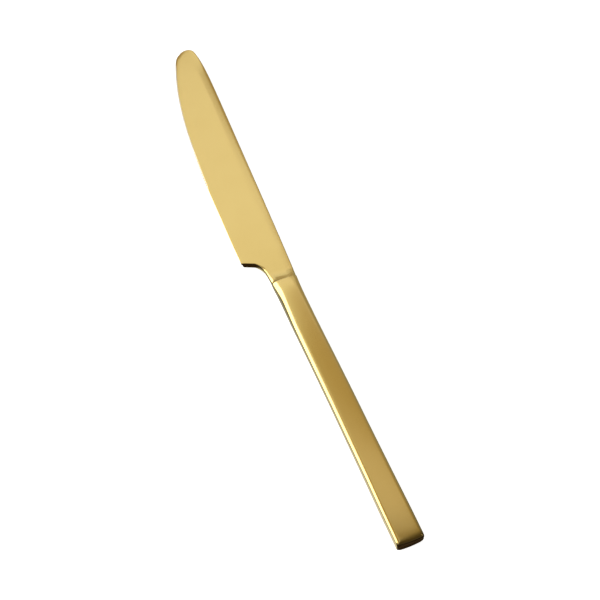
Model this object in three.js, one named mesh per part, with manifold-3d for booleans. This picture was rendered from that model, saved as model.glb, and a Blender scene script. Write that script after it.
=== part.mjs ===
// Table knife with a hollow handle. Millimetres, +Z up.
// X runs along the knife: blade tip at -X, butt of the handle at +X.
// The cutting edge looks towards -Y, the spine towards +Y.
// The knife lies on the flat underside of its handle.

import * as THREE from 'three';
import { mergeVertices } from 'three/addons/utils/BufferGeometryUtils.js';
import Module from 'manifold-3d';

const wasm = await Module();
wasm.setup();

// ---------------------------------------------------------------- driving dimensions
const HANDLE_T = 5.3;            // handle thickness, underside to top
const MID_Z = HANDLE_T / 2;      // mid-plane that blade and handle share
const MOUTH_X = -7.9;            // handle mouth: the step across the neck
const BUTT_X = 105.6;            // end face of the handle
const SHELL_WALL = 0.8;          // wall of the pressed half shells
const SEAM_HALF = 0.1;           // half height left between the half shells for the seam
const FIT = 0.03;                // clearance kept between neighbouring pieces

const BLADE_HALF_HEEL = 1.33;    // half thickness of the blade at the heel
const BLADE_HALF_TIP = 0.8;      // half thickness at the tip
const EDGE_BEVEL = 1.4;          // width of the bevel ground on the underside of the edge
const SPINE_ROLL = 3.2;          // width over which the faces roll down to the spine
const SPINE_DROP = 0.34;         // how far they drop there

const TOOTH_PITCH = 1.25;        // serration
const TOOTH_DEPTH = 0.5;
const TEETH_FROM_X = -124.2;
const TEETH_COUNT = 53;

const RAMP_FROM_X = -11.1;       // concave ramp from the blade face up to the handle mouth
const SHOULDER_X = MOUTH_X - 0.22;
const TANG_END_X = 46;

// cutting edge seen from above, tip to heel, choil and neck: [x, y]
const EDGE_PLAN = [
  [-128.5, 4.0], [-128.2, 3.2], [-127.5, 2.15], [-126.5, 0.92], [-125.4, -0.12], [-124, -0.93],
  [-122, -1.77], [-120, -2.46], [-118, -3.08], [-115, -4.0], [-112, -4.85], [-108, -5.85],
  [-104, -6.73], [-100, -7.48], [-95, -8.28], [-90, -8.97], [-85, -9.52], [-80, -9.98],
  [-75, -10.4], [-70, -10.8], [-65, -11.12], [-60, -11.36], [-55, -11.53], [-50, -11.64],
  [-45, -11.74], [-40, -11.86], [-35, -12.0], [-30, -12.09], [-26, -12.12], [-22.5, -12.12],
  [-20.9, -12.1], [-20, -10.05], [-19.2, -8.22], [-18.8, -7.4], [-18.3, -6.88], [-17.6, -6.38], [-16.8, -5.94], [-16, -5.57],
  [-15, -5.22], [-14, -4.98], [-12.5, -4.8], [-11, -4.74], [-7.9, -4.64],
];
// spine seen from above, tip to neck
const SPINE_PLAN = [
  [-128.5, 5.8], [-128.2, 6.7], [-127.5, 7.5], [-126.5, 8.02], [-125.4, 8.3], [-124, 8.52],
  [-122, 8.76], [-120, 8.92], [-118, 9.02], [-115, 9.09], [-112, 9.08], [-108, 9.01],
  [-104, 8.89], [-100, 8.76], [-90, 8.38], [-80, 7.99], [-70, 7.59], [-60, 7.19],
  [-50, 6.79], [-40, 6.37], [-30, 5.95], [-20, 5.52], [-15, 5.28], [-12, 5.13], [-10, 5.0], [-7.9, 4.87],
];
// handle sides seen from above
const HANDLE_EDGE_SIDE = [[-7.9, 4.64], [-5, 4.47], [-2, 4.36], [2, 4.38], [10, 4.55], [20, 4.6], [30, 4.58], [40, 4.6], [60, 4.77], [80, 4.97], [95, 5.14], [105.6, 5.17]];
const HANDLE_SPINE_SIDE = [[-7.9, 4.87], [-5, 4.7], [-2, 4.58], [2, 4.54], [10, 4.54], [20, 4.63], [30, 4.75], [40, 4.83], [50, 4.87], [60, 4.85], [80, 4.89], [95, 5.0], [105.6, 5.01]];

// ---------------------------------------------------------------- helpers
const lerpTable = (table, x) => {
  if (x <= table[0][0]) return table[0][1];
  for (let i = 1; i < table.length; i++) {
    if (x <= table[i][0]) {
      const [x0, y0] = table[i - 1], [x1, y1] = table[i];
      return y0 + (y1 - y0) * (x - x0) / (x1 - x0);
    }
  }
  return table[table.length - 1][1];
};

// Closed solid through a row of sections; every section is a loop of the same number of [x, y, z] points.
const loft = (sections) => {
  const n = sections[0].length;
  const position = sections.flat(2);
  const index = [];
  for (let s = 0; s + 1 < sections.length; s++) {
    for (let i = 0; i < n; i++) {
      const a = s * n + i, b = s * n + (i + 1) % n, c = a + n, d = b + n;
      index.push(a, c, b, b, c, d);
    }
  }
  for (const [s, flip] of [[0, false], [sections.length - 1, true]]) {
    const loop = sections[s].map(([, y, z]) => new THREE.Vector2(y, z));
    const ccw = THREE.ShapeUtils.area(loop) > 0;
    for (const [a, b, c] of THREE.ShapeUtils.triangulateShape(loop, [])) {
      if (ccw !== flip) index.push(s * n + a, s * n + b, s * n + c);
      else index.push(s * n + a, s * n + c, s * n + b);
    }
  }
  const geometry = new THREE.BufferGeometry();
  geometry.setAttribute('position', new THREE.Float32BufferAttribute(position, 3));
  geometry.setIndex(index);
  const merged = mergeVertices(geometry, 1e-5);
  return volume(merged) < 0 ? turned(merged) : merged;
};

const volume = (geometry) => {
  const p = geometry.attributes.position, ix = geometry.index;
  const a = new THREE.Vector3(), b = new THREE.Vector3(), c = new THREE.Vector3();
  let sum = 0;
  for (let i = 0; i < ix.count; i += 3) {
    a.fromBufferAttribute(p, ix.getX(i)); b.fromBufferAttribute(p, ix.getX(i + 1)); c.fromBufferAttribute(p, ix.getX(i + 2));
    sum += a.dot(b.cross(c)) / 6;
  }
  return sum;
};

const turned = (geometry) => {
  const ix = Array.from(geometry.index.array);
  for (let i = 0; i < ix.length; i += 3) [ix[i + 1], ix[i + 2]] = [ix[i + 2], ix[i + 1]];
  geometry.setIndex(ix);
  return geometry;
};

const toSolid = (geometry) => new wasm.Manifold(new wasm.Mesh({
  numProp: 3,
  vertProperties: new Float32Array(geometry.attributes.position.array),
  triVerts: new Uint32Array(geometry.index.array),
}));

const toGeometry = (solid) => {
  const mesh = solid.getMesh();
  const geometry = new THREE.BufferGeometry();
  geometry.setAttribute('position', new THREE.BufferAttribute(new Float32Array(mesh.vertProperties), 3));
  geometry.setIndex(new THREE.BufferAttribute(new Uint32Array(mesh.triVerts), 1));
  return geometry;
};

const finish = (color, roughness, metalness) => new THREE.MeshStandardMaterial({ color, roughness, metalness });

const piece = (name, geometry, material) => {
  geometry.computeVertexNormals();
  const mesh = new THREE.Mesh(geometry, material);
  mesh.name = name;
  return mesh;
};

// ---------------------------------------------------------------- blade, neck, shoulder and tang
// Rise of the faces above the blade's own half thickness: a concave ramp that ends at the handle mouth.
const rampRise = (x, top) => {
  const t = THREE.MathUtils.clamp((x - RAMP_FROM_X) / (MOUTH_X - RAMP_FROM_X), 0, 1);
  return (top - BLADE_HALF_HEEL) * (1 - Math.sqrt(Math.max(0, 1 - 0.62 * t * t))) / (1 - Math.sqrt(0.38));
};

const bladeHalf = (x) => {
  const t = THREE.MathUtils.clamp((x + 24) / (-128.5 + 24), 0, 1);
  return BLADE_HALF_HEEL + (BLADE_HALF_TIP - BLADE_HALF_HEEL) * t;
};

const bladeSection = (x, notch) => {
  const ye = lerpTable(EDGE_PLAN, x), ys = lerpTable(SPINE_PLAN, x);
  const k = Math.min(1, (ys - ye) / 7);
  const heel = THREE.MathUtils.smoothstep(x, -21.2, -20.8);     // 0 on the cutting edge, 1 on heel and neck
  const h = bladeHalf(x) + rampRise(x, HANDLE_T / 2 - 0.06);
  const neck = THREE.MathUtils.smoothstep(x, -16, -8.2);        // the neck's corners grow round
  const zt = MID_Z + h, zb = MID_Z - h;
  const y0 = ye + notch * k;
  const bevel = THREE.MathUtils.lerp(EDGE_BEVEL * k, 0.3 + 2.2 * neck, heel);
  const lip = THREE.MathUtils.lerp(0.3 * k, 0.3 + 2.2 * neck, heel);
  const edgeTop = THREE.MathUtils.lerp(zt - 0.12, zt - 0.2 - 1.2 * neck, heel);
  const edgeLow = THREE.MathUtils.lerp(zt - 0.3, zb + 0.2 + 1.2 * neck, heel);
  const roll = THREE.MathUtils.lerp(SPINE_ROLL * k, 3.0, neck);
  const drop = SPINE_DROP * Math.min(1, h) * k + 0.95 * neck;
  const side = Math.min(THREE.MathUtils.lerp(drop + 0.42 * k, 1.9, neck), h - 0.1);
  return [
    [x, y0, edgeLow], [x, ye + bevel, zb], [x, ys - roll, zb], [x, ys - 0.36 * roll, zb + 0.3 * drop],
    [x, ys - 0.3 * k, zb + drop], [x, ys, zb + side],
    [x, ys, zt - side], [x, ys - 0.3 * k, zt - drop], [x, ys - 0.36 * roll, zt - 0.3 * drop],
    [x, ys - roll, zt], [x, ye + lip, zt], [x, y0, edgeTop],
  ];
};

// Tang: a flat bar, 12 points so that it continues the blade's loop; half width a, half thickness b.
const tangSection = (x, a, b) => {
  const c = 0.35;
  return [
    [x, -a, MID_Z - b + c], [x, -a + c, MID_Z - b], [x, a - c, MID_Z - b], [x, a - 0.66 * c, MID_Z - b + 0.12 * c],
    [x, a - 0.12 * c, MID_Z - b + 0.66 * c], [x, a, MID_Z - b + c],
    [x, a, MID_Z + b - c], [x, a - 0.12 * c, MID_Z + b - 0.66 * c], [x, a - 0.66 * c, MID_Z + b - 0.12 * c],
    [x, a - c, MID_Z + b], [x, -a + c, MID_Z + b], [x, -a, MID_Z + b - c],
  ];
};

const makeBlade = () => {
  const sections = [];
  const stations = [];
  for (const [x] of EDGE_PLAN) if (x < TEETH_FROM_X) stations.push([x, 0]);
  for (let i = 0; i < TEETH_COUNT; i++) {
    const x = TEETH_FROM_X + i * TOOTH_PITCH;
    stations.push([x, 0], [x + 0.5 * TOOTH_PITCH, TOOTH_DEPTH]);
  }
  const last = TEETH_FROM_X + TEETH_COUNT * TOOTH_PITCH;
  stations.push([last, 0]);
  for (const [x] of EDGE_PLAN) if (x > last + 0.5 && x < RAMP_FROM_X) stations.push([x, 0]);
  for (const x of [-21.2, -20.5, -19.8]) stations.push([x, 0]);
  for (const x of [RAMP_FROM_X, -10.2, -9.5, -9.0, -8.6, -8.35, SHOULDER_X]) stations.push([x, 0]);
  stations.sort((p, q) => p[0] - q[0]);
  for (const [x, notch] of stations) sections.push(bladeSection(x, notch));
  const tang = [[SHOULDER_X, 3.0], [8, 2.75], [9, 2.15], [13, 2.15], [14, 2.65], [22, 2.5], [23, 1.9], [27, 1.9], [28, 2.4], [40, 2.1], [TANG_END_X, 1.6]];
  for (const [x, a] of tang) sections.push(tangSection(x, a, 1.05));
  return loft(sections);
};

// ---------------------------------------------------------------- handle
// Corner of the handle's section: wide and soft at the neck, tighter at the butt.
const cornerY = (x) => 1.0 + 2.3 * Math.pow(THREE.MathUtils.clamp((BUTT_X - x) / (BUTT_X - MOUTH_X), 0, 1), 1.6);
const cornerZ = (x) => 0.95 + 0.95 * Math.pow(THREE.MathUtils.clamp((BUTT_X - x) / (BUTT_X - MOUTH_X), 0, 1), 1.6);
const CORNER_STEPS = 5;

// Half of the handle's section, from the spine side over the flat face to the edge side.
// up = 1 for the upper half, -1 for the lower half; z0 is the height of the cut above the mid-plane.
const halfSection = (x, up, z0, inset, insetZ, roundOff = 0) => {
  const ws = lerpTable(HANDLE_SPINE_SIDE, x) - inset, we = lerpTable(HANDLE_EDGE_SIDE, x) - inset;
  const top = HANDLE_T / 2 - insetZ;
  const a = Math.max(0.3, cornerY(x) - inset + roundOff), b = Math.max(0.3, Math.min(cornerZ(x) - insetZ * 0.6 + roundOff, top - Math.max(z0, 0) - 0.15));
  const points = [[x, ws, MID_Z + up * z0]];
  for (let i = 0; i <= CORNER_STEPS; i++) {
    const t = i / CORNER_STEPS * Math.PI / 2;
    points.push([x, ws - a + a * Math.cos(t), MID_Z + up * (top - b + b * Math.sin(t))]);
  }
  for (let i = CORNER_STEPS; i >= 0; i--) {
    const t = i / CORNER_STEPS * Math.PI / 2;
    points.push([x, -we + a - a * Math.cos(t), MID_Z + up * (top - b + b * Math.sin(t))]);
  }
  points.push([x, -we, MID_Z + up * z0]);
  return points;
};

const HANDLE_X = [MOUTH_X, -5, -2, 2, 10, 20, 30, 40, 50, 60, 70, 80, 90, 97, 102.6];
// butt: [x, how far the sides, and how far the faces, have drawn in]
const BUTT_ROUND = [[104.2, 0.06, 0.1], [105.0, 0.18, 0.35], [105.4, 0.34, 0.66], [BUTT_X, 0.5, 0.95]];
const CAVITY_END = BUTT_X - 1.5;

const halfBar = (up, z0) => loft([
  ...HANDLE_X.map((x) => halfSection(x, up, z0, 0, 0)),
  ...BUTT_ROUND.map(([x, dy, dz]) => halfSection(x, up, z0, dy, dz)),
]);

// The hollow, as a half bar that also reaches past the mouth and past the cut plane.
const halfHollow = (up) => loft(
  [MOUTH_X - 3, ...HANDLE_X.slice(0, -1), CAVITY_END].map((x) => halfSection(x, up, -0.6, SHELL_WALL, SHELL_WALL)),
);

const makeShell = (up) => toGeometry(toSolid(halfBar(up, SEAM_HALF)).subtract(toSolid(halfHollow(up))));

// Seam: a U of braze between the half shells, along both thin sides and round the butt.
const makeSeam = () => {
  const z = SEAM_HALF - FIT;
  const outline = (inset, from, to, lip) => {
    const xs = [from, ...HANDLE_X.filter((x) => x > from + 0.5 && x < to - 0.5), to];
    const pts = [];
    for (const x of xs) pts.push(new THREE.Vector2(x, lerpTable(HANDLE_SPINE_SIDE, x) - inset));
    if (lip) for (const [x, dy] of BUTT_ROUND) pts.push(new THREE.Vector2(x, lerpTable(HANDLE_SPINE_SIDE, x) - inset - dy));
    if (lip) for (const [x, dy] of [...BUTT_ROUND].reverse()) pts.push(new THREE.Vector2(x, -lerpTable(HANDLE_EDGE_SIDE, x) + inset + dy));
    for (const x of [...xs].reverse()) pts.push(new THREE.Vector2(x, -lerpTable(HANDLE_EDGE_SIDE, x) + inset));
    return pts;
  };
  const from = MOUTH_X;
  const plate = new THREE.ExtrudeGeometry(new THREE.Shape(outline(0, from, 102.6, true)), { depth: 2 * z, bevelEnabled: false });
  plate.translate(0, 0, MID_Z - z);
  const hollow = new THREE.ExtrudeGeometry(new THREE.Shape(outline(SHELL_WALL - FIT, from - 2, CAVITY_END, false)), { depth: 6 * z, bevelEnabled: false });
  hollow.translate(0, 0, MID_Z - 3 * z);
  const clean = (g) => { g.deleteAttribute('normal'); g.deleteAttribute('uv'); return mergeVertices(g, 1e-5); };
  return toGeometry(toSolid(clean(plate)).subtract(toSolid(clean(hollow))));
};

// Filler: fills the hollow and holds the tang in a socket cast around it.
const makeFiller = () => {
  const inset = SHELL_WALL + FIT;
  const ring = (x) => {
    const upper = halfSection(x, 1, 0.0, inset, inset), lower = halfSection(x, -1, 0.0, inset, inset).reverse();
    return [...upper, ...lower.slice(1, -1)];
  };
  const xs = [MOUTH_X + FIT, ...HANDLE_X.slice(1, -1), CAVITY_END - FIT];
  const block = toSolid(loft(xs.map(ring)));
  const grow = 0.05;
  const tang = [[MOUTH_X - 1, 3.0], [8, 2.75], [9, 2.15], [13, 2.15], [14, 2.65], [22, 2.5], [23, 1.9], [27, 1.9], [28, 2.4], [40, 2.1], [TANG_END_X, 1.6], [TANG_END_X + grow, 1.6]];
  const socket = toSolid(loft(tang.map(([x, a]) => tangSection(x, a + grow, 1.05 + grow))));
  return toGeometry(block.subtract(socket));
};

// Braze ring between the blade's shoulder and the handle's mouth.
const makeNeckBraze = () => {
  const ring = (x, inset) => {
    const upper = halfSection(MOUTH_X, 1, 0.0, inset, inset).map(([, y, z]) => [x, y, z]);
    const lower = halfSection(MOUTH_X, -1, 0.0, inset, inset).map(([, y, z]) => [x, y, z]).reverse();
    return [...upper, ...lower.slice(1, -1)];
  };
  const plate = toSolid(loft([ring(SHOULDER_X + FIT, 0.04), ring(MOUTH_X - FIT, 0.04)]));
  const hole = toSolid(loft([tangSection(SHOULDER_X - 1, 3.06, 1.11), tangSection(MOUTH_X + 1, 3.06, 1.11)]));
  return toGeometry(plate.subtract(hole));
};

// ---------------------------------------------------------------- assembly
const GOLD = 0xd9bf7a;
const knife = new THREE.Group();
knife.add(
  piece('blade', makeBlade(), finish(GOLD, 0.28, 1.0)),
  piece('handle_upper_shell', makeShell(1), finish(GOLD, 0.28, 1.0)),
  piece('handle_lower_shell', makeShell(-1), finish(GOLD, 0.28, 1.0)),
  piece('handle_seam_braze', makeSeam(), finish(0xd2b872, 0.32, 1.0)),
  piece('neck_braze', makeNeckBraze(), finish(0xd2b872, 0.32, 1.0)),
  piece('handle_filler', makeFiller(), finish(0xa39d92, 0.95, 0.0)),
);

// origin: centre of the bounding box, on the plane of the handle's underside
const box = new THREE.Box3().setFromObject(knife);
knife.position.set(-(box.min.x + box.max.x) / 2, -(box.min.y + box.max.y) / 2, -box.min.z);

const part = new THREE.Group();
part.add(knife);

export default part;
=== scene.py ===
"""Satin gold table knife: fine surfaces, finish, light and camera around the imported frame."""
import math

import bmesh
import bpy
import numpy as np
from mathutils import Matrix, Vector


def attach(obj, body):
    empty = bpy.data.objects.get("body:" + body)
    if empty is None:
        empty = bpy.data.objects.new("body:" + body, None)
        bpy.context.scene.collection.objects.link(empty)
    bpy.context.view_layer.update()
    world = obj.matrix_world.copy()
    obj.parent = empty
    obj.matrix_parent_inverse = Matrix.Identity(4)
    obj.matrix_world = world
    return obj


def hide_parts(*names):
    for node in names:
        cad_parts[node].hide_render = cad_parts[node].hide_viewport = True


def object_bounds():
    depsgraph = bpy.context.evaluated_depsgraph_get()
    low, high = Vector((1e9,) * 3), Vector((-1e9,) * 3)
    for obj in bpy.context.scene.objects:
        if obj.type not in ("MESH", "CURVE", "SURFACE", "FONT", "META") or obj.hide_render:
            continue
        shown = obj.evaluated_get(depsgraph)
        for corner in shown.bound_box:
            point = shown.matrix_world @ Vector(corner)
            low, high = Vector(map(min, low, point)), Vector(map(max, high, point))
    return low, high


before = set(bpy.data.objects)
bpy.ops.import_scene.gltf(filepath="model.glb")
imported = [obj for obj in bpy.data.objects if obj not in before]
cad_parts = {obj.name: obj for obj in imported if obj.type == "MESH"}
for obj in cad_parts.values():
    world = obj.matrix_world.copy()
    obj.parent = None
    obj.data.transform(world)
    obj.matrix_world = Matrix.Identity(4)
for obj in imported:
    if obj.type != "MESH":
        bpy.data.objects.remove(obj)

CAD_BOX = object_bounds()

# ------------------------------------------------------------------ where the knife's own axes lie in the frame
# The shapes below are written in millimetres in the knife's axes: x along the handle, y towards the spine,
# z up from the handle's underside. The frame's origin is the middle of the box.
LO, HI = CAD_BOX
OX = LO.x * 1000 + 128.5
OY = LO.y * 1000 + 12.12


def to_frame(p):
    p = np.asarray(p, float)
    return np.stack([(p[..., 0] + OX) / 1000, (p[..., 1] + OY) / 1000, p[..., 2] / 1000], -1)


# ------------------------------------------------------------------ dimensions, millimetres
HANDLE_T = 5.3
MID = HANDLE_T / 2
MOUTH_X, BUTT_X = -7.9, 105.6
SHOULDER_X = MOUTH_X - 0.22
WALL, SEAM_HALF, FIT = 0.8, 0.1, 0.03
CAVITY_END = BUTT_X - 1.5
TANG_END_X = 46.0
RAMP_FROM_X, RAMP_RISE = -13.1, 0.77
TOOTH_PITCH, TOOTH_DEPTH, TEETH_FROM_X, TEETH_COUNT = 1.25, 0.55, -124.2, 53
EDGE_LAND = 0.3
HALF_HEEL, HALF_TIP = 1.33, 0.8

# outline of the blade seen from above
EDGE = [(-125.4, -0.12), (-124, -0.93), (-122, -1.77), (-120, -2.46), (-118, -3.08), (-115, -4.0), (-112, -4.85),
        (-108, -5.85), (-104, -6.73), (-100, -7.48), (-95, -8.28), (-90, -8.97), (-85, -9.52), (-80, -9.98), (-75, -10.4),
        (-70, -10.8), (-65, -11.12), (-60, -11.36), (-55, -11.53), (-50, -11.64), (-45, -11.74), (-40, -11.86), (-35, -12.0),
        (-30, -12.1), (-26, -12.14), (-22.5, -12.14), (-20.9, -12.12)]
HEEL = [(-20.9, -12.12), (-20.0, -10.05), (-19.2, -8.22), (-18.8, -7.4), (-18.3, -6.88), (-17.6, -6.38), (-16.8, -5.94),
        (-16, -5.57), (-15, -5.22), (-14, -4.98), (-12.5, -4.8), (-11, -4.74), (-7.9, -4.67)]
SPINE = [(-125.4, 8.3), (-124, 8.52), (-122, 8.76), (-120, 8.92), (-118, 9.02), (-115, 9.09), (-112, 9.08), (-108, 9.01),
         (-104, 8.89), (-100, 8.76), (-90, 8.38), (-80, 7.99), (-70, 7.59), (-60, 7.19), (-50, 6.79), (-40, 6.37),
         (-30, 5.95), (-20, 5.52), (-15, 5.28), (-12, 5.13), (-10, 5.0), (-7.9, 4.87)]
TIP = [(-118, -3.08), (-120, -2.46), (-122, -1.77), (-124, -0.93), (-125.4, -0.12), (-126.42, 0.83), (-127.42, 2.04), (-128.17, 3.18),
       (-128.55, 4.3), (-128.56, 5.5), (-128.27, 6.64), (-127.6, 7.46), (-126.64, 7.98), (-125.4, 8.3), (-124, 8.52),
       (-122, 8.76), (-120, 8.92), (-118, 9.02)]
# half widths of the handle
SIDE_EDGE = [(-7.9, 4.64), (-6, 4.53), (-4, 4.41), (-0.5, 4.33), (4, 4.42), (13, 4.61), (25, 4.58), (43, 4.6), (61, 4.78), (78, 4.94), (94, 5.14), (105.6, 5.17)]
SIDE_SPINE = [(-7.9, 4.87), (-5, 4.7), (-2, 4.58), (2, 4.54), (10, 4.54), (20, 4.63), (35, 4.8), (48, 4.87), (60, 4.85), (80, 4.89), (95, 5.0), (105.6, 5.01)]

# rounding of the handle's corners, inwards and down, on the edge side and on the spine side; the lower edge side one has its own depth
CORNER_EDGE = [(-7.9, 3.3, 1.45), (-5, 3.0, 1.8), (-2, 2.2, 2.15), (0, 1.95, 2.3), (5, 1.75, 2.15), (13, 1.7, 1.7), (27, 1.85, 1.35), (44, 1.9, 1.22), (62, 1.9, 1.25), (79, 1.75, 1.2), (95, 1.6, 1.1), (105.6, 1.5, 1.05)]
CORNER_LOW = [(-7.9, 1.1), (-4, 0.75), (0, 0.55), (5, 0.8), (13, 1.3), (27, 1.3), (44, 1.2), (62, 1.15), (79, 1.1), (95, 1.0), (105.6, 1.0)]
CORNER_SPINE = [(-7.9, 2.4, 0.95), (0, 1.9, 1.0), (15, 1.6, 1.1), (35, 1.4, 1.2), (60, 1.3, 1.3), (90, 1.35, 1.3), (105.6, 1.3, 1.2)]
# slope of the handle's face along its centre line, in degrees: it rises out of the mouth, is a little waisted and falls to the butt
FACE_SLOPE = [(-7.9, 5.0), (-7, 2.8), (-6, 1.5), (-4, 0.2), (-2, -0.45), (1, -0.7), (6, -0.6), (15, -0.45), (28, -0.42), (40, -0.15), (52, 0.28),
              (65, 0.55), (80, 0.38), (90, 0.0), (95, -0.7), (98, -1.1), (101, -1.6), (102.5, -2.2), (103.4, -3.4), (104.2, -6.5), (105.6, -9.0)]
# the same for the underside, which is flatter
LOW_SLOPE = [(-7.9, 5.0), (-7, 2.8), (-6, 1.5), (-4, 0.3), (-2, 0.0), (6, -0.2), (28, -0.2), (52, 0.05), (65, 0.15), (80, 0.15), (90, 0.0), (105.6, -1.0)]


# ------------------------------------------------------------------ curves
def hermite(table):
    """A smooth curve y(x) through the points of a table that does not overshoot between them."""
    t = np.array(table, float)
    x, y = t[:, 0], t[:, 1]
    h = np.diff(x)
    d = np.diff(y) / h
    m = np.empty_like(y)
    m[0], m[-1] = d[0], d[-1]
    for i in range(1, len(y) - 1):
        if d[i - 1] * d[i] <= 0:
            m[i] = 0
        else:
            w1, w2 = 2 * h[i] + h[i - 1], h[i] + 2 * h[i - 1]
            m[i] = (w1 + w2) / (w1 / d[i - 1] + w2 / d[i])

    def curve(q):
        q = np.clip(np.asarray(q, float), x[0], x[-1])
        i = np.clip(np.searchsorted(x, q, side="right") - 1, 0, len(h) - 1)
        s = (q - x[i]) / h[i]
        return ((1 + 2 * s) * (1 - s) ** 2 * y[i] + s * (1 - s) ** 2 * h[i] * m[i]
                + s * s * (3 - 2 * s) * y[i + 1] + s * s * (s - 1) * h[i] * m[i + 1])
    return curve


def spline_path(points, n):
    """n points evenly spaced along a smooth curve through the given points."""
    p = np.array(points, float)
    k = len(p)
    s = np.r_[0, np.cumsum(np.sqrt(((p[1:] - p[:-1]) ** 2).sum(1)))]
    h = np.diff(s)
    a = np.zeros((k, k))
    b = np.zeros((k, 2))
    a[0, 0] = a[-1, -1] = 1
    for i in range(1, k - 1):
        a[i, i - 1], a[i, i], a[i, i + 1] = h[i - 1], 2 * (h[i - 1] + h[i]), h[i]
        b[i] = 6 * ((p[i + 1] - p[i]) / h[i] - (p[i] - p[i - 1]) / h[i - 1])
    m = np.linalg.solve(a, b)

    def at(q):
        q = np.clip(np.asarray(q, float), 0, s[-1])
        i = np.clip(np.searchsorted(s, q, side="right") - 1, 0, k - 2)
        t0, t1, hh = (s[i + 1] - q)[:, None], (q - s[i])[:, None], h[i][:, None]
        return (m[i] * t0 ** 3 + m[i + 1] * t1 ** 3) / (6 * hh) + (p[i] / hh - m[i] * hh / 6) * t0 + (p[i + 1] / hh - m[i + 1] * hh / 6) * t1
    fine = at(np.linspace(0, s[-1], 6000))
    length = np.r_[0, np.cumsum(np.sqrt(((fine[1:] - fine[:-1]) ** 2).sum(1)))]
    q = np.interp(np.linspace(0, length[-1], n), length, np.linspace(0, s[-1], 6000))
    return at(q)


def smoothstep(x, a, b):
    t = np.clip((np.asarray(x, float) - a) / (b - a), 0, 1)
    return t * t * (3 - 2 * t)


def lerp(a, b, t):
    return a + (b - a) * t


y_edge, y_heel, y_spine = hermite(EDGE), hermite(HEEL), hermite(SPINE)
w_edge, w_spine = hermite(SIDE_EDGE), hermite(SIDE_SPINE)


# ------------------------------------------------------------------ handle section
def to_butt(x):
    return np.clip((BUTT_X - np.asarray(x, float)) / (BUTT_X - MOUTH_X), 0, 1)


edge_in, edge_down = (hermite([(q[0], q[k]) for q in CORNER_EDGE]) for k in (1, 2))
spine_in, spine_down = (hermite([(q[0], q[k]) for q in CORNER_SPINE]) for k in (1, 2))
low_down = hermite(CORNER_LOW)
face_x = np.linspace(MOUTH_X, BUTT_X, 4541)


def face_height(table):
    slope = np.tan(np.radians(hermite(table)(face_x)))
    z = np.r_[0, np.cumsum((slope[1:] + slope[:-1]) / 2 * np.diff(face_x))]
    return z + HANDLE_T / 2 - z.max()


face_top, face_low = face_height(FACE_SLOPE), face_height(LOW_SLOPE)


def half_thick(x, up):
    """Height of the upper or the lower face over the middle plane on the centre line."""
    return np.interp(x, face_x, face_top if up > 0 else face_low)


def crown(x):
    return 0.06 + 0.34 * to_butt(x) ** 2.2


def corner_drop(d, a, b):
    """Drop of an elliptical corner of half axes a (inwards) and b (down) at a distance d from the side."""
    t = np.clip((a - d) / a, 0, 1)
    return b * (1 - np.sqrt(np.clip(1 - t * t, 0, 1)))


# ------------------------------------------------------------------ mesh helpers
def make_object(name, verts, faces, sharp=32.0):
    mesh = bpy.data.meshes.new(name)
    mesh.from_pydata([tuple(v) for v in to_frame(verts)], [], [tuple(int(i) for i in f) for f in faces])
    bm = bmesh.new()
    bm.from_mesh(mesh)
    bmesh.ops.remove_doubles(bm, verts=bm.verts, dist=1e-7)
    bmesh.ops.dissolve_degenerate(bm, edges=bm.edges, dist=1e-7)
    bmesh.ops.recalc_face_normals(bm, faces=bm.faces)
    if bm.calc_volume(signed=True) < 0:
        bmesh.ops.reverse_faces(bm, faces=bm.faces)
    bm.to_mesh(mesh)
    bm.free()
    mesh.shade_smooth()
    mesh.set_sharp_from_angle(angle=math.radians(sharp))
    obj = bpy.data.objects.new(name, mesh)
    bpy.context.scene.collection.objects.link(obj)
    return obj


def loop_faces(rows, n, first=0):
    """Quads between consecutive closed loops of n points."""
    faces = []
    for r in range(rows - 1):
        a, b = first + r * n, first + (r + 1) * n
        for i in range(n):
            j = (i + 1) % n
            faces.append((a + i, a + j, b + j, b + i))
    return faces


# ------------------------------------------------------------------ blade
def blade_outline():
    """The outline as two runs of points: cutting edge, tip and spine in one, heel and choil in the other.
    The first run also carries how much of it is cutting edge (1) or spine (0)."""
    xe = np.linspace(-20.9, -118, 900)
    edge = np.stack([xe, y_edge(xe)], 1)
    tip = spline_path(TIP, 700)
    xs = np.linspace(-118, SHOULDER_X, 900)
    spine = np.stack([xs, y_spine(xs)], 1)
    run = np.concatenate([edge[:-1], tip, spine[1:]])
    s = np.linspace(0, 1, len(tip))
    cut = np.concatenate([np.ones(len(edge) - 1), 1 - smoothstep(s, 0.38, 0.6), np.zeros(len(spine) - 1)])
    xh = np.linspace(-20.9, SHOULDER_X, 700)
    heel = np.stack([xh, y_heel(xh)], 1)
    return run, cut, heel, tip


def nearest(points, run):
    """Distance to the nearest point of a run, and its index."""
    dist = np.empty(len(points))
    index = np.empty(len(points), int)
    for k in range(0, len(points), 4000):
        q = points[k:k + 4000]
        d2 = ((q[:, None, :] - run[None]) ** 2).sum(2)
        i = d2.argmin(1)
        index[k:k + 4000] = i
        dist[k:k + 4000] = np.sqrt(d2[np.arange(len(q)), i])
    return dist, index


def ramp(x, y):
    """Rise of the faces from the blade towards the handle's mouth, which stands a small step above its end.
    It is longer and higher on the edge side."""
    across = np.clip((np.asarray(y, float) + 4.7) / 9.6, 0, 1)
    length = lerp(MOUTH_X - RAMP_FROM_X, 4.4, across)
    t = np.clip((np.asarray(x, float) - MOUTH_X + length) / length, 0, 1)
    foot = np.clip((np.asarray(x, float) - MOUTH_X + 1.2) / 0.95, 0, 1)
    curve = np.where(t < 0.68, t ** 2 / 1.36, t - 0.34) / 0.66
    return lerp(RAMP_RISE, 0.44, across ** 1.6) * curve + 0.3 * np.clip(1 - 2.2 * across, 0, 1) ** 2 * smoothstep(y, -4.85, -4.2) * foot ** 2


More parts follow.
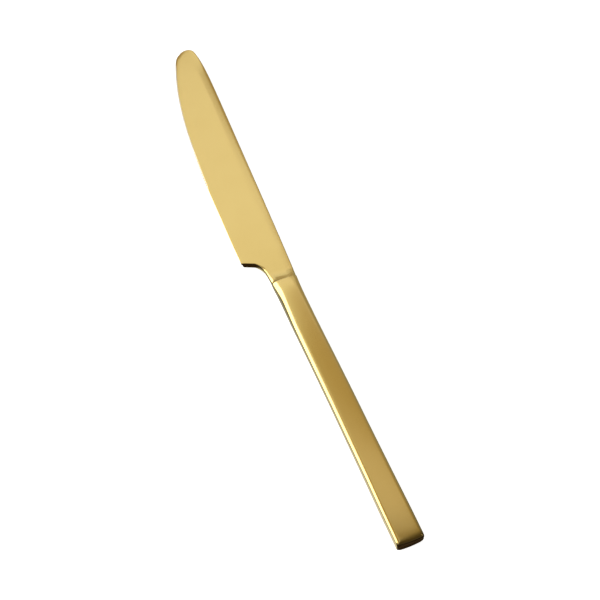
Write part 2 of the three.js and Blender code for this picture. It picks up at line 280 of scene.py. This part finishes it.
def blade_half(x):
    return lerp(HALF_HEEL, HALF_TIP, np.clip((np.asarray(x, float) + 24) / (-128.5 + 24), 0, 1))


def blade_faces_z(points, run, cut, heel):
    """Heights of the upper and lower face over points of the plan."""
    x = points[:, 0]
    d, i = nearest(points, run)
    dh, ih = nearest(points, heel)
    c = cut[i]
    neck = smoothstep(run[i, 0], RAMP_FROM_X, MOUTH_X) * (1 - c)
    tipness = np.clip(1 - np.abs(c - 0.5) * 2, 0, 1)
    # cutting edge / spine: a corner, and a wide shallow roll of the face towards it
    points_end = smoothstep(run[i, 0], -126, -124) * (1 - smoothstep(run[i, 0], -118, -115)) + smoothstep(run[i, 0], -79, -76) * (1 - smoothstep(run[i, 0], -60, -58))
    a = lerp(lerp(lerp(0.34, lerp(0.2, 0.5, points_end), c), 0.3, tipness), float(spine_in(MOUTH_X)), neck)
    b = lerp(lerp(lerp(0.36, lerp(0.1, 0.9, points_end), c), 0.3, tipness), float(spine_down(MOUTH_X)), neck)
    band = lerp(3.65, 2.5, smoothstep(run[i, 0], -50, -26)) + 0.8 * smoothstep(run[i, 0], -26, -17)
    spine_roll = (lerp(0.2, 0.32, smoothstep(run[i, 0], -40, -105)) + 0.08 * smoothstep(run[i, 0], -26, -17)) * np.clip(1 - d / band, 0, 1) ** 1.07 + 0.05 * np.clip(1 - d / 1.2, 0, 1) ** 2
    spine_roll = spine_roll * smoothstep(run[i, 0], -128.9, -113)
    edge_roll = 0.09 * np.clip(1 - d / 1.7, 0, 1) ** 2
    drop = corner_drop(d, a, b) + lerp(spine_roll, edge_roll, c) * (1 - neck)
    # heel, choil and neck on the edge side
    hx = heel[ih, 0]
    hn = smoothstep(hx, RAMP_FROM_X, MOUTH_X)
    soft = smoothstep(hx, -18.2, -15.0)
    ah = lerp(lerp(0.22, 0.95, soft), 2.6, hn)
    bh = lerp(lerp(0.2, 0.5, soft), 1.15, hn)
    drop = drop + corner_drop(dh, ah, bh)
    h = blade_half(x) + ramp(x, points[:, 1])
    top = MID + h - drop
    low = MID - h + drop
    # bevel ground on the underside of the cutting edge
    wide = lerp(0.35, 1.0, smoothstep(dh, -0.3, 2.6))
    grind = np.clip(1 - np.clip(d - 0.7 * wide, 0, None) / (1.6 * wide), 0, 1) * c * lerp(0.85, 1.0, smoothstep(dh, 0.0, 1.2))
    low = lerp(low, top - EDGE_LAND, grind)
    return top, np.minimum(low, top - 0.05)


def tang_loop(x, a, b, n_top, n_low):
    """A flat bar's section with the same number of points as a blade section."""
    c = 0.35
    def face(n):
        y = np.linspace(-a, a, n)
        e = a - np.abs(y)
        return y, corner_drop(e, c, c)
    yt, dt = face(n_top)
    yl, dl = face(n_low)
    top = np.stack([np.full(n_top, x), yt, MID + b - dt], 1)
    low = np.stack([np.full(n_low, x), yl[::-1], MID - b + dl[::-1]], 1)
    return np.concatenate([top, low])


def tooth(x):
    """Depth of the serration: sharp points between round hollows, fading out at its two ends."""
    t = (np.asarray(x, float) - TEETH_FROM_X) / TOOTH_PITCH
    inside = (t > 0) & (t < TEETH_COUNT)
    u = t - np.floor(t)
    hollow = np.clip(0.5 - 1.4 * np.cos(2 * np.pi * u), 0, 1)
    ends = np.minimum(smoothstep(t, 0, 2.5), 1 - smoothstep(t, TEETH_COUNT - 2, TEETH_COUNT))
    return np.where(inside, TOOTH_DEPTH * hollow * ends, 0)


def build_blade():
    run, cut, heel, tip = blade_outline()
    n = 47
    v = 0.5 * (1 - np.cos(np.pi * np.linspace(0, 1, n)))
    starts, ends = [], []
    # round tip: chords from one side of the tip to the other
    mid = int(np.argmin(tip[:, 0]))
    e_side, s_side = tip[:mid + 1][::-1], tip[mid:]
    def walk(side, x_end):
        length = np.r_[0, np.cumsum(np.sqrt(((side[1:] - side[:-1]) ** 2).sum(1)))]
        total = length[np.argmin(np.abs(side[:, 0] - x_end))]
        return lambda f: np.stack([np.interp(f * total, length, side[:, 0]), np.interp(f * total, length, side[:, 1])], -1)
    x_tip_end = -124.3
    ew, sw = walk(e_side, x_tip_end), walk(s_side, x_tip_end)
    for f in np.linspace(0, 1, 56)[1:]:
        starts.append(ew(f)); ends.append(sw(f))
    starts[0] = ew(0.013); ends[0] = sw(0.013)
    # straight chords across the blade
    xs = np.concatenate([
        np.linspace(TEETH_FROM_X, TEETH_FROM_X + TEETH_COUNT * TOOTH_PITCH, TEETH_COUNT * 12 + 1),
        np.arange(TEETH_FROM_X + TEETH_COUNT * TOOTH_PITCH + 0.6, -21.6, 0.6),
        np.arange(-21.5, -20.95, 0.1), [-20.93, -20.9, -20.86],
        np.arange(-20.8, RAMP_FROM_X - 0.05, 0.1), np.linspace(RAMP_FROM_X, SHOULDER_X, 40),
    ])
    for x in xs:
        ye = float(y_edge(x)) if x <= -20.9 else float(y_heel(x))
        starts.append(np.array([x, ye + float(tooth(x))]))
        ends.append(np.array([x, float(y_spine(x))]))
    starts, ends = np.array(starts), np.array(ends)
    grid = starts[:, None, :] * (1 - v)[None, :, None] + ends[:, None, :] * v[None, :, None]
    flat = grid.reshape(-1, 2)
    top, low = blade_faces_z(flat, run, cut, heel)
    top, low = top.reshape(len(starts), n), low.reshape(len(starts), n)
    loops = []
    for k in range(len(starts)):
        up = np.column_stack([grid[k], top[k]])
        dn = np.column_stack([grid[k], low[k]])[::-1]
        loops.append(np.concatenate([up, dn]))
    tang = [(SHOULDER_X, 3.0), (8, 2.75), (9, 2.15), (13, 2.15), (14, 2.65), (22, 2.5), (23, 1.9), (27, 1.9), (28, 2.4), (40, 2.1), (TANG_END_X, 1.6)]
    for x, a in tang:
        loops.append(tang_loop(x, a - 0.1, 0.98, n, n))
    verts = np.concatenate(loops)
    faces = loop_faces(len(loops), 2 * n)
    faces.append(tuple(range(2 * n)))
    faces.append(tuple(range((len(loops) - 1) * 2 * n, len(loops) * 2 * n)))
    return make_object("knife_blade", verts, faces, 30)


# ------------------------------------------------------------------ handle shells
ARC = np.linspace(0, np.pi / 2, 21)
FLAT = 15


def butt_draw(x, up):
    """How far the sides and the faces have drawn in at the rounded butt."""
    reach, deep = (1.15, 0.9) if up > 0 else (0.5, 0.4)
    t = np.clip((np.asarray(x, float) - (BUTT_X - reach)) / reach, 0, 1)
    faces = deep * (1 - np.sqrt(np.clip(1 - t * t, 0, 1)))
    ts = np.clip((np.asarray(x, float) - (BUTT_X - 0.65)) / 0.65, 0, 1)
    sides = 0.5 * (1 - np.sqrt(np.clip(1 - ts * ts, 0, 1)))
    return sides, faces


def half_loop(x, up, z0, inset=0.0, hollow=False):
    """Half of the handle's section from the spine side over the face to the edge side."""
    sides, faces = (0.0, 0.0) if hollow else [float(q) for q in butt_draw(x, up)]
    ws = float(w_spine(x)) - inset - sides
    we = float(w_edge(x)) - inset - sides
    top = HANDLE_T / 2 - inset if hollow else float(half_thick(x, up)) - inset - faces
    limit = top - max(z0, 0) - 0.1
    a_s, b_s = max(0.25, float(spine_in(x)) - inset), min(max(0.25, float(spine_down(x)) - 0.6 * inset), limit)
    down = float(edge_down(x)) if up > 0 else float(low_down(x))
    a_e, b_e = max(0.25, float(edge_in(x)) - inset), min(max(0.25, down - 0.6 * inset), limit)
    if hollow:
        a_s, b_s, a_e, b_e = (max(0.2, 0.45 * q) for q in (a_s, b_s, a_e, b_e))
    k = 0.0 if hollow else float(crown(x))
    pts = []
    for z in np.linspace(z0, top - b_s, 4)[:-1]:
        pts.append((ws, z))
    for t in ARC:
        pts.append((ws - a_s + a_s * math.cos(t), top - b_s + b_s * math.sin(t)))
    for y in np.linspace(ws - a_s, -we + a_e, FLAT)[1:-1]:
        pts.append((y, top))
    for t in ARC[::-1]:
        pts.append((-we + a_e - a_e * math.cos(t), top - b_e + b_e * math.sin(t)))
    for z in np.linspace(top - b_e, z0, 4)[1:]:
        pts.append((-we, z))
    pts = np.array(pts)
    # slight crown of the face, fading out to the sides
    b = np.where(pts[:, 0] > 0, b_s, b_e)
    rise = np.clip((pts[:, 1] - (top - b)) / b, 0, 1)
    pts[:, 1] -= k * rise * np.clip(np.abs(pts[:, 0]) / max(ws, we), 0, 1) ** 2
    # the end is a little convex and not quite square
    end = 0.0 if hollow else float(smoothstep(x, 99, BUTT_X))
    skew = -0.12 + (0.24 * np.clip(pts[:, 1] / top, 0, 1) if up > 0 else 0.0)
    xx = x + end * (0.28 * (1 - (pts[:, 0] / 4.9) ** 2) + skew * pts[:, 0] / 4.9)
    return np.column_stack([xx, pts[:, 0], MID + up * pts[:, 1]])


def build_shell(name, up):
    xs = np.concatenate([MOUTH_X + np.array([0, 0.05, 0.12, 0.25, 0.45, 0.7]), np.arange(-7.0, 102.5, 0.9), [CAVITY_END - 1.0]])
    xs = np.unique(np.round(np.append(xs, CAVITY_END), 4))
    tail = BUTT_X - 2.0 * (1 - np.sin(np.linspace(0, np.pi / 2, 19)))
    tail = tail[tail > CAVITY_END + 0.02]
    body = np.unique(np.round(np.concatenate([xs, BUTT_X - 2.0 + np.linspace(0, 0.5, 4)]), 4))
    body = body[body <= CAVITY_END]
    outer = [half_loop(x, up, SEAM_HALF) for x in np.concatenate([body, tail])]
    # the mouth's rim is a crisp edge with the least rounding
    inner = [half_loop(x, up, SEAM_HALF, WALL - 0.04, True) for x in body]
    k = len(outer[0])
    verts = np.concatenate(outer + inner)
    m, mi = len(outer), len(inner)
    o = lambda s, i: s * k + i
    q = lambda s, i: m * k + s * k + i
    faces = []
    for s in range(m - 1):
        for i in range(k - 1):
            faces.append((o(s, i), o(s, i + 1), o(s + 1, i + 1), o(s + 1, i)))
    for s in range(mi - 1):
        for i in range(k - 1):
            faces.append((q(s, i), q(s + 1, i), q(s + 1, i + 1), q(s, i + 1)))
    for i in range(k - 1):
        faces.append((o(0, i), q(0, i), q(0, i + 1), o(0, i + 1)))
    for s in range(mi - 1):
        faces.append((o(s, 0), o(s + 1, 0), q(s + 1, 0), q(s, 0)))
        faces.append((o(s, k - 1), q(s, k - 1), q(s + 1, k - 1), o(s + 1, k - 1)))
    faces.append(tuple(o(m - 1, i) for i in range(k)))
    faces.append(tuple(q(mi - 1, i) for i in range(k)))
    faces.append(tuple([q(mi - 1, 0)] + [o(s, 0) for s in range(mi - 1, m)] + [o(s, k - 1) for s in range(m - 1, mi - 2, -1)] + [q(mi - 1, k - 1)]))
    return make_object(name, verts, faces, 30)


def build_seam():
    """The U of braze between the half shells."""
    z = SEAM_HALF - FIT
    xs = np.concatenate([np.arange(MOUTH_X, 102.5, 0.9), BUTT_X - 2.0 * (1 - np.sin(np.linspace(0, np.pi / 2, 19)))])
    xs = np.unique(np.round(xs, 4))
    spine_side, edge_side = [], []
    for x in xs:
        loop = half_loop(x, 1, 0.0)
        spine_side.append(loop[0, :2])
        edge_side.append(loop[-1, :2])
    outer = np.concatenate([np.array(spine_side), np.array(edge_side)[::-1]])
    inset = WALL - FIT
    inner = []
    for x in xs:
        xi = min(x, CAVITY_END)
        inner.append((xi, float(w_spine(xi)) - inset))
    for x in xs[::-1]:
        xi = min(x, CAVITY_END)
        inner.append((xi, -float(w_edge(xi)) + inset))
    inner = np.array(inner)
    # points past the end of the hollow spread along its end wall
    past = np.where(xs > CAVITY_END)[0]
    n = len(xs)
    span = np.linspace(0, 1, 2 * len(past) + 2)[1:-1]
    a, b = float(w_spine(CAVITY_END)) - inset, -float(w_edge(CAVITY_END)) + inset
    for j, i in enumerate(list(past) + [2 * n - 1 - i for i in past[::-1]]):
        inner[i] = (CAVITY_END, a + (b - a) * span[j])
    m = len(outer)
    layer = lambda p, zz: np.column_stack([p, np.full(len(p), zz)])
    verts = np.concatenate([layer(outer, MID + z), layer(outer, MID - z), layer(inner, MID - z), layer(inner, MID + z)])
    faces = []
    for i in range(m - 1):
        for r in range(4):
            a0, b0 = r * m, ((r + 1) % 4) * m
            faces.append((a0 + i, a0 + i + 1, b0 + i + 1, b0 + i))
    faces.append((0, m, 2 * m, 3 * m))
    faces.append((m - 1, 2 * m - 1, 3 * m - 1, 4 * m - 1))
    return make_object("knife_seam", verts, faces, 30)


def build_neck_braze():
    loop = np.concatenate([half_loop(MOUTH_X, 1, 0.0, 0.03)[:, 1:], half_loop(MOUTH_X, -1, 0.0, 0.03)[::-1][1:-1, 1:]])
    k = len(loop)
    # a hole of as many points round the tang
    ang = np.arctan2(loop[:, 1] - MID, loop[:, 0])
    hole = np.stack([np.clip(np.cos(ang) * 8, -3.06, 3.06), MID + np.clip(np.sin(ang) * 8, -1.11, 1.11)], 1)
    x0, x1 = SHOULDER_X + FIT, MOUTH_X - FIT
    ring = lambda p, x: np.column_stack([np.full(len(p), x), p])
    verts = np.concatenate([ring(loop, x0), ring(loop, x1), ring(hole, x1), ring(hole, x0)])
    faces = []
    for r in range(4):
        a, b = r * k, ((r + 1) % 4) * k
        for i in range(k):
            j = (i + 1) % k
            faces.append((a + i, a + j, b + j, b + i))
    return make_object("knife_neck_braze", verts, faces, 30)


# ------------------------------------------------------------------ finishes
def principled(name):
    mat = bpy.data.materials.new(name)
    mat.use_nodes = True
    nt = mat.node_tree
    nt.nodes.clear()
    out = nt.nodes.new("ShaderNodeOutputMaterial")
    bsdf = nt.nodes.new("ShaderNodeBsdfPrincipled")
    nt.links.new(bsdf.outputs["BSDF"], out.inputs["Surface"])
    return mat, nt, bsdf


def satin_gold(name, light, dark, rough_lo, rough_hi, seed):
    """Satin gold coating over brushed steel: fine lengthwise grain in the gloss and relief, and faint cloudiness in the tone."""
    mat, nt, bsdf = principled(name)
    link = nt.links.new
    coord = nt.nodes.new("ShaderNodeTexCoord")
    grain_map = nt.nodes.new("ShaderNodeMapping")
    grain_map.inputs["Scale"].default_value = (60, 9000, 9000)
    grain_map.inputs["Location"].default_value = (seed, seed, 0)
    link(coord.outputs["Object"], grain_map.inputs["Vector"])
    grain = nt.nodes.new("ShaderNodeTexNoise")
    grain.inputs["Scale"].default_value = 1.0
    grain.inputs["Detail"].default_value = 3.0
    grain.inputs["Roughness"].default_value = 0.6
    link(grain_map.outputs["Vector"], grain.inputs["Vector"])
    cloud = nt.nodes.new("ShaderNodeTexNoise")
    cloud.inputs["Scale"].default_value = 70.0
    cloud.inputs["Detail"].default_value = 4.0
    link(coord.outputs["Object"], cloud.inputs["Vector"])
    mix = nt.nodes.new("ShaderNodeMix")
    mix.data_type = "RGBA"
    mix.inputs[6].default_value = (*dark, 1)
    mix.inputs[7].default_value = (*light, 1)
    spread = nt.nodes.new("ShaderNodeMapRange")
    spread.inputs["From Min"].default_value = 0.3
    spread.inputs["From Max"].default_value = 0.7
    link(cloud.outputs["Fac"], spread.inputs["Value"])
    link(spread.outputs["Result"], mix.inputs[0])
    link(mix.outputs[2], bsdf.inputs["Base Color"])
    rough = nt.nodes.new("ShaderNodeMapRange")
    rough.inputs["From Min"].default_value = 0.25
    rough.inputs["From Max"].default_value = 0.75
    rough.inputs["To Min"].default_value = rough_lo
    rough.inputs["To Max"].default_value = rough_hi
    link(grain.outputs["Fac"], rough.inputs["Value"])
    link(rough.outputs["Result"], bsdf.inputs["Roughness"])
    bump = nt.nodes.new("ShaderNodeBump")
    bump.inputs["Strength"].default_value = 0.03
    bump.inputs["Distance"].default_value = 0.00002
    link(grain.outputs["Fac"], bump.inputs["Height"])
    link(bump.outputs["Normal"], bsdf.inputs["Normal"])
    bsdf.inputs["Metallic"].default_value = 1.0
    return mat


def cement(name):
    """Rough cast handle cement with sand grains."""
    mat, nt, bsdf = principled(name)
    link = nt.links.new
    coord = nt.nodes.new("ShaderNodeTexCoord")
    sand = nt.nodes.new("ShaderNodeTexVoronoi")
    sand.inputs["Scale"].default_value = 1800.0
    link(coord.outputs["Object"], sand.inputs["Vector"])
    blotch = nt.nodes.new("ShaderNodeTexNoise")
    blotch.inputs["Scale"].default_value = 160.0
    blotch.inputs["Detail"].default_value = 5.0
    link(coord.outputs["Object"], blotch.inputs["Vector"])
    ramp_node = nt.nodes.new("ShaderNodeValToRGB")
    ramp_node.color_ramp.elements[0].color = (0.24, 0.225, 0.2, 1)
    ramp_node.color_ramp.elements[1].color = (0.5, 0.47, 0.42, 1)
    link(blotch.outputs["Fac"], ramp_node.inputs["Fac"])
    link(ramp_node.outputs["Color"], bsdf.inputs["Base Color"])
    bump = nt.nodes.new("ShaderNodeBump")
    bump.inputs["Strength"].default_value = 0.5
    bump.inputs["Distance"].default_value = 0.0001
    link(sand.outputs["Distance"], bump.inputs["Height"])
    link(bump.outputs["Normal"], bsdf.inputs["Normal"])
    bsdf.inputs["Roughness"].default_value = 0.92
    return mat


GOLD_BLADE = satin_gold("satin_gold_blade", (0.905, 0.685, 0.262), (0.885, 0.662, 0.246), 0.15, 0.18, 0.0)
GOLD_HANDLE = satin_gold("satin_gold_handle", (0.905, 0.685, 0.262), (0.885, 0.662, 0.246), 0.15, 0.18, 3.7)
BRAZE = satin_gold("braze_gold", (0.9, 0.675, 0.258), (0.87, 0.645, 0.24), 0.24, 0.32, 8.1)
CEMENT = cement("handle_cement")

# ------------------------------------------------------------------ pieces
blade = build_blade()
upper = build_shell("knife_handle_upper_shell", 1)
lower = build_shell("knife_handle_lower_shell", -1)
seam = build_seam()
neck = build_neck_braze()
for obj, node, slot, mat in ((blade, "blade", "satin_gold_blade", GOLD_BLADE),
                             (upper, "handle_upper_shell", "satin_gold_handle", GOLD_HANDLE),
                             (lower, "handle_lower_shell", "satin_gold_handle", GOLD_HANDLE),
                             (seam, "handle_seam_braze", "braze", BRAZE),
                             (neck, "neck_braze", "braze", BRAZE)):
    obj.data.materials.append(mat)
    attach(obj, "root")
    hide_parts(node)
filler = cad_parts["handle_filler"]
filler.data.materials.clear()
filler.data.materials.append(CEMENT)

# ------------------------------------------------------------------ camera
TILT, DIST, AXIS = math.radians(33.0), 592.6, math.radians(22.3)
U = np.array([math.sin(AXIS), -math.cos(AXIS)])
V = np.array([math.cos(AXIS), math.sin(AXIS)])


def table_point(px, py, pz):
    """A point given as right, away and up on the table as the camera sees it, in the knife's axes."""
    p = np.array([px, py])
    return np.array([p @ U, p @ V + 3.0, pz])


cam_data = bpy.data.cameras.new("camera")
cam = bpy.data.objects.new("camera", cam_data)
bpy.context.scene.collection.objects.link(cam)
cam_data.sensor_width = 36.0
cam_data.lens = 96.0
eye = Vector(to_frame(table_point(0, -DIST * math.sin(TILT), DIST * math.cos(TILT))))
aim = Vector(to_frame(table_point(0, 0, 0)))
cam.location = eye
cam.rotation_mode = "QUATERNION"
cam.rotation_quaternion = (aim - eye).to_track_quat("-Z", "Y")
cam_data.clip_start, cam_data.clip_end = 0.01, 20.0
bpy.context.scene.camera = cam


# ------------------------------------------------------------------ floor and light
def build_floor():
    size = 3.0
    mesh = bpy.data.meshes.new("floor")
    mesh.from_pydata([(-size, -size, -0.0001), (size, -size, -0.0001), (size, size, -0.0001), (-size, size, -0.0001)], [], [(0, 1, 2, 3)])
    obj = bpy.data.objects.new("floor", mesh)
    bpy.context.scene.collection.objects.link(obj)
    mat, nt, bsdf = principled("pale_floor")
    coord = nt.nodes.new("ShaderNodeTexCoord")
    tone = nt.nodes.new("ShaderNodeTexNoise")
    tone.inputs["Scale"].default_value = 6.0
    nt.links.new(coord.outputs["Object"], tone.inputs["Vector"])
    mix = nt.nodes.new("ShaderNodeMix")
    mix.data_type = "RGBA"
    mix.inputs[6].default_value = (0.90, 0.90, 0.895, 1)
    mix.inputs[7].default_value = (0.92, 0.92, 0.915, 1)
    nt.links.new(tone.outputs["Fac"], mix.inputs[0])
    nt.links.new(mix.outputs[2], bsdf.inputs["Base Color"])
    bsdf.inputs["Roughness"].default_value = 0.95
    bsdf.inputs["Specular IOR Level"].default_value = 0.0
    bsdf.inputs["Emission Color"].default_value = (1, 1, 1, 1)
    bsdf.inputs["Emission Strength"].default_value = 0.95
    obj.data.materials.append(mat)
    obj.visible_glossy = False
    obj.visible_shadow = False
    return obj


build_floor()


def panel(name, azimuths, elevations, dist, radiance):
    """A soft panel that looks at the knife and fills a range of azimuth and elevation seen from it.
    Azimuth is from straight away, clockwise, as the camera sees the table."""
    a, e = (math.radians(sum(q) / 2) for q in (azimuths, elevations))
    width = 2 * dist * math.tan(math.radians(azimuths[1] - azimuths[0]) * math.cos(e) / 2)
    height = 2 * dist * math.tan(math.radians(elevations[1] - elevations[0]) / 2)
    data = bpy.data.lights.new(name, "AREA")
    data.shape = "RECTANGLE"
    data.size, data.size_y = width, height
    top = max(radiance)
    data.energy = math.pi * width * height * top
    data.color = [c / top for c in radiance]
    obj = bpy.data.objects.new(name, data)
    bpy.context.scene.collection.objects.link(obj)
    reach = dist * 1000
    at = Vector(to_frame(table_point(reach * math.sin(a) * math.cos(e), reach * math.cos(a) * math.cos(e), reach * math.sin(e))))
    obj.location = at
    obj.rotation_mode = "QUATERNION"
    obj.rotation_quaternion = (aim - at).to_track_quat("-Z", "Y")
    obj.visible_camera = False
    return obj


panel("far_panel", (-80, 8), (39.4, 63.6), 0.52, (0.465, 0.545, 0.66))
panel("far_right_panel", (8, 27), (34, 52.5), 0.52, (0.3, 0.34, 0.39))
panel("top_panel", (-60, 39), (67.4, 79.4), 0.56, (0.225, 0.25, 0.335))
panel("left_panel", (-105, -55), (-8, 48), 1.5, (2.4, 2.4, 2.5))
panel("near_panel", (198, 254), (20, 64), 1.4, (0.46, 0.44, 0.4))
panel("right_panel", (90, 107), (6, 54), 1.4, (0.33, 0.31, 0.28))
# straight overhead, a little to the left: near the zenith a small angle is a large turn
panel("overhead_panel", (-320, 140), (77, 96), 1.4, (0.34, 0.33, 0.3))


def build_world():
    """Dim warm room: graded from below to above, lighter on the far and left side than on the near and right side."""
    world = bpy.data.worlds.new("studio")
    bpy.context.scene.world = world
    world.use_nodes = True
    nt = world.node_tree
    nt.nodes.clear()
    link = nt.links.new
    coord = nt.nodes.new("ShaderNodeTexCoord")
    away = nt.nodes.new("ShaderNodeVectorMath")
    away.operation = "DOT_PRODUCT"
    lean = math.radians(30.0)
    away.inputs[1].default_value = (float(U[1] * math.cos(lean) - U[0] * math.sin(lean)), float(V[1] * math.cos(lean) - V[0] * math.sin(lean)), 0.0)
    link(coord.outputs["Generated"], away.inputs[0])
    side = nt.nodes.new("ShaderNodeMapRange")
    side.interpolation_type = "SMOOTHSTEP"
    side.inputs["From Min"].default_value = 0.05
    side.inputs["From Max"].default_value = 0.36
    link(away.outputs["Value"], side.inputs["Value"])
    axes = nt.nodes.new("ShaderNodeSeparateXYZ")
    link(coord.outputs["Generated"], axes.inputs[0])
    height = nt.nodes.new("ShaderNodeMapRange")
    height.inputs["From Min"].default_value = -1.0
    height.inputs["From Max"].default_value = 1.0
    link(axes.outputs["Z"], height.inputs["Value"])

    def graded(stops):
        node = nt.nodes.new("ShaderNodeValToRGB")
        ramp_el = node.color_ramp.elements
        while len(ramp_el) < len(stops):
            ramp_el.new(0.5)
        for el, (z, color) in zip(ramp_el, stops):
            el.position = (z + 1) / 2
            el.color = (*color, 1)
        link(height.outputs["Result"], node.inputs["Fac"])
        return node

    far = graded([(-1.0, (0.95, 0.97, 0.98)), (-0.9, (0.72, 0.74, 0.73)), (-0.85, (0.47, 0.49, 0.47)), (-0.825, (0.22, 0.24, 0.22)), (-0.6, (0.18, 0.2, 0.18)), (-0.1, (0.3, 0.32, 0.32)), (0.4, (0.36, 0.35, 0.32)),
                  (0.53, (0.41, 0.36, 0.27)), (0.6, (0.31, 0.255, 0.15)), (0.75, (0.4, 0.31, 0.195)), (0.9, (0.42, 0.33, 0.13)), (1.0, (0.08, 0.06, 0.06))])
    near = graded([(-1.0, (0.055, 0.044, 0.04)), (-0.85, (0.023, 0.0145, 0.009)), (-0.5, (0.017, 0.01, 0.005)), (-0.1, (0.016, 0.012, 0.008)), (0.1, (0.05, 0.045, 0.04)), (0.5, (0.06, 0.05, 0.035)), (0.75, (0.05, 0.035, 0.018)), (1.0, (0.085, 0.067, 0.03))])
    mix = nt.nodes.new("ShaderNodeMix")
    mix.data_type = "RGBA"
    link(side.outputs["Result"], mix.inputs[0])
    link(near.outputs["Color"], mix.inputs[6])
    link(far.outputs["Color"], mix.inputs[7])
    room = nt.nodes.new("ShaderNodeBackground")
    link(mix.outputs[2], room.inputs["Color"])
    # the camera itself sees plain white beyond the floor
    plain = nt.nodes.new("ShaderNodeBackground")
    plain.inputs["Color"].default_value = (1, 1, 1, 1)
    path = nt.nodes.new("ShaderNodeLightPath")
    pick = nt.nodes.new("ShaderNodeMixShader")
    link(path.outputs["Is Camera Ray"], pick.inputs[0])
    link(room.outputs[0], pick.inputs[1])
    link(plain.outputs[0], pick.inputs[2])
    out = nt.nodes.new("ShaderNodeOutputWorld")
    link(pick.outputs[0], out.inputs["Surface"])


build_world()

bpy.context.scene.view_settings.view_transform = "Standard"
bpy.context.scene.view_settings.look = "None"
bpy.context.scene.view_settings.exposure = 0.0
bpy.context.scene.view_settings.gamma = 1.0
